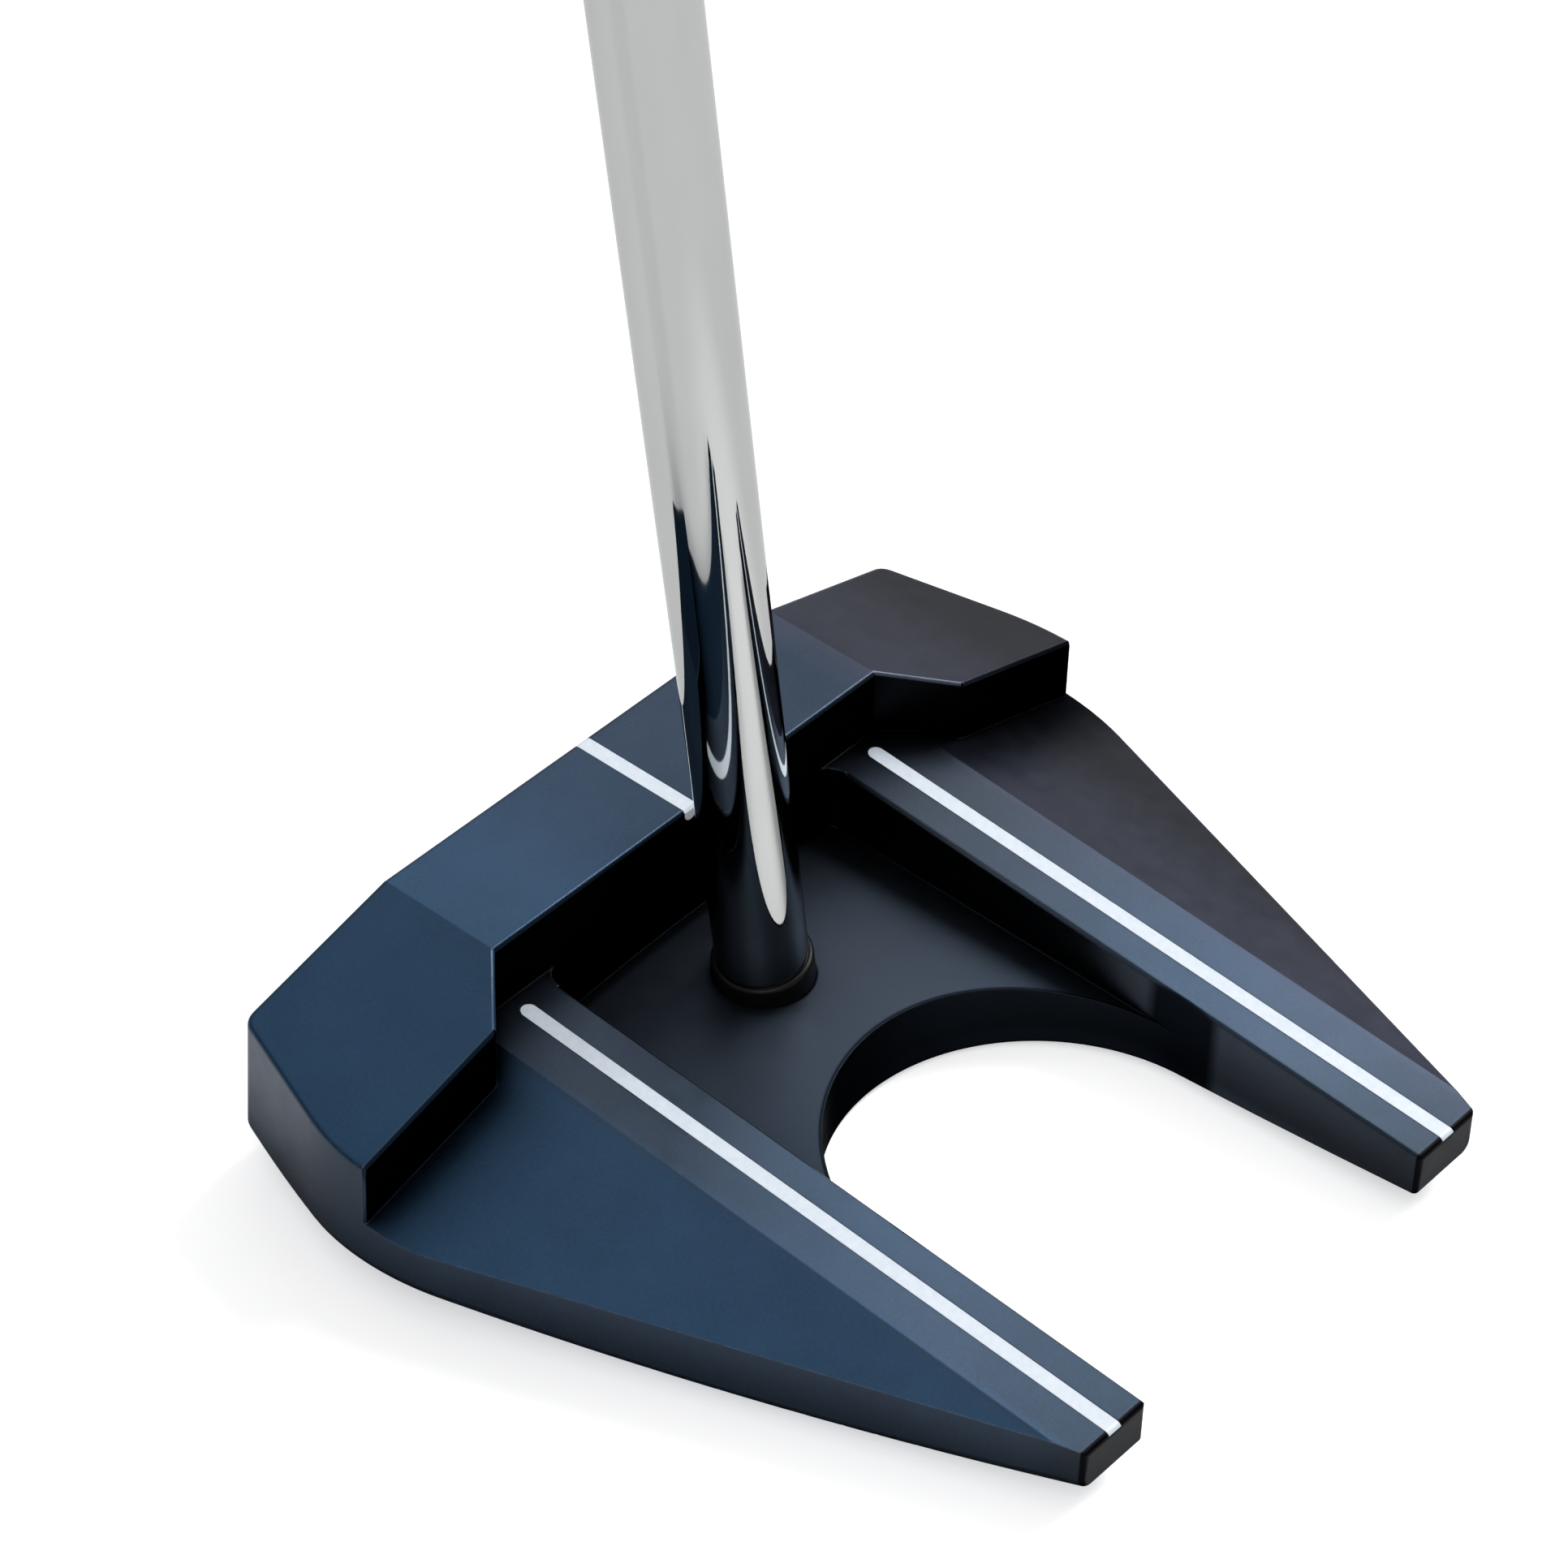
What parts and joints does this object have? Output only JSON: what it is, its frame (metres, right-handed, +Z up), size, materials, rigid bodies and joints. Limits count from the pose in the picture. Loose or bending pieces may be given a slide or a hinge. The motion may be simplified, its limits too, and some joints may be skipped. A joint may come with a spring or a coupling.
{
  "type": "mallet putter",
  "caption": "Winged mallet putter with a leaning straight steel shaft, milled face insert, cut-out between the wings and removable sole weights.",
  "frame": {"origin": "at the foot of the face, in the middle of the head's width: on the ground, 0.75 mm behind the top edge of the face", "axes": "+X towards the toe, +Y the way the face looks (the ball's direction), +Z up; the shaft leans towards the heel, -X"},
  "size_m": [0.2162, 0.0913, 0.8826],
  "materials": {
    "head_metal": "satin dark blue-grey anodised metal",
    "sight_line_paint": "white paint fill",
    "insert_tape": "double-sided tape",
    "insert_backer": "satin",
    "insert_face": "matt moulded polymer with fine milled lines",
    "sole_plate_steel": "satin dark",
    "screw_steel": "satin",
    "post_steel": "turned",
    "epoxy": "cured epoxy",
    "shaft_chrome": "polished chrome plate",
    "ferrule_plastic": "polished black",
    "band_film": "plain dark film",
    "grip_tape": "paper tape",
    "grip_core_rubber": "foamed rubber",
    "grip_wrap_rubber": "soft-touch polyurethane, fine texture",
    "grip_cap_plastic": "moulded",
    "weight_steel": "turned and satin",
    "washer_rubber": "matt"
  },
  "bodies": {
    "club": {"head_body": "head_metal", "sight_line_centre": "sight_line_paint", "sight_line_heel": "sight_line_paint", "sight_line_toe": "sight_line_paint", "face_insert_adhesive": "insert_tape", "face_insert_backer": "insert_backer", "face_insert_striking_layer": "insert_face", "sole_plate": "sole_plate_steel", "sole_plate_screws": "screw_steel", "hosel_spud": "post_steel", "shaft_epoxy": "epoxy", "shaft": "shaft_chrome", "shaft_ferrule": "ferrule_plastic", "shaft_band": "band_film", "grip_tape": "grip_tape", "grip_core": "grip_core_rubber", "grip_wrap": "grip_wrap_rubber", "grip_end_cap": "grip_cap_plastic"},
    "heel_washer": {"heel_weight_washer": "washer_rubber"},
    "heel_weight": {"heel_weight_screw": "weight_steel"},
    "toe_washer": {"toe_weight_washer": "washer_rubber"},
    "toe_weight": {"toe_weight_screw": "weight_steel"}
  },
  "joints": [
    {"name": "heel_weight_travel", "type": "slide", "parent": "club", "child": "heel_washer", "axis": [0, 0, -1], "range_m": [0, 0.0088]},
    {"name": "heel_weight_turn", "type": "hinge", "parent": "heel_washer", "child": "heel_weight", "pos_m": [-0.0345, -0.0112, 0], "axis": [0, 0, -1], "range_deg": [0, 2520]},
    {"name": "toe_weight_travel", "type": "slide", "parent": "club", "child": "toe_washer", "axis": [0, 0, -1], "range_m": [0, 0.0088]},
    {"name": "toe_weight_turn", "type": "hinge", "parent": "toe_washer", "child": "toe_weight", "pos_m": [0.0345, -0.0112, 0], "axis": [0, 0, -1], "range_deg": [0, 2520]}
  ],
  "couplings": [
    {"joint": "heel_weight_travel", "follows": "heel_weight_turn", "m_per_rad": 0.00019894},
    {"joint": "toe_weight_travel", "follows": "toe_weight_turn", "m_per_rad": 0.00019894}
  ]
}
